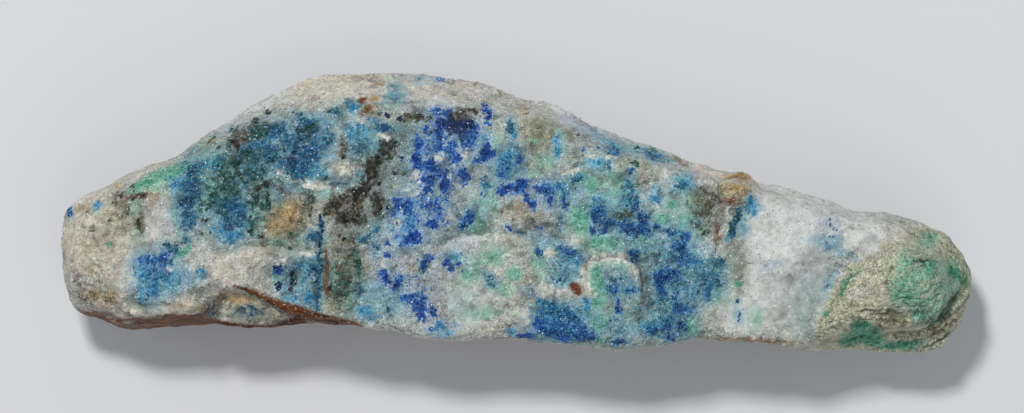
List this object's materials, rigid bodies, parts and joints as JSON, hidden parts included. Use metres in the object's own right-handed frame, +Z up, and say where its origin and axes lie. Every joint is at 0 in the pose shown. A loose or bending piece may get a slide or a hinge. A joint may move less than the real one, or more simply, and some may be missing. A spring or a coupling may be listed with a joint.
{
  "type": "azurite and malachite specimen",
  "caption": "Long hand-sized splinter of vein quartz with blue azurite and green malachite crusts on its broken face and a sandstone nodule in its wide end, lying on its back.",
  "frame": {"origin": "centre of the bounding box in plan, at the height of the flat patch that the stone lies on", "axes": "+X along the stone towards the sandstone nodule, +Y across it towards its thin bevelled edge, +Z up out of the mineral face"},
  "size_m": [0.1019, 0.0316, 0.0193],
  "materials": {
    "mineral_stone": "Rough granular vein quartz crusted with fine sparkling azurite and dull malachite, with brown and black iron and manganese stains."
  },
  "bodies": {
    "root": {"azurite_malachite_stone": "mineral_stone"}
  },
  "joints": []
}
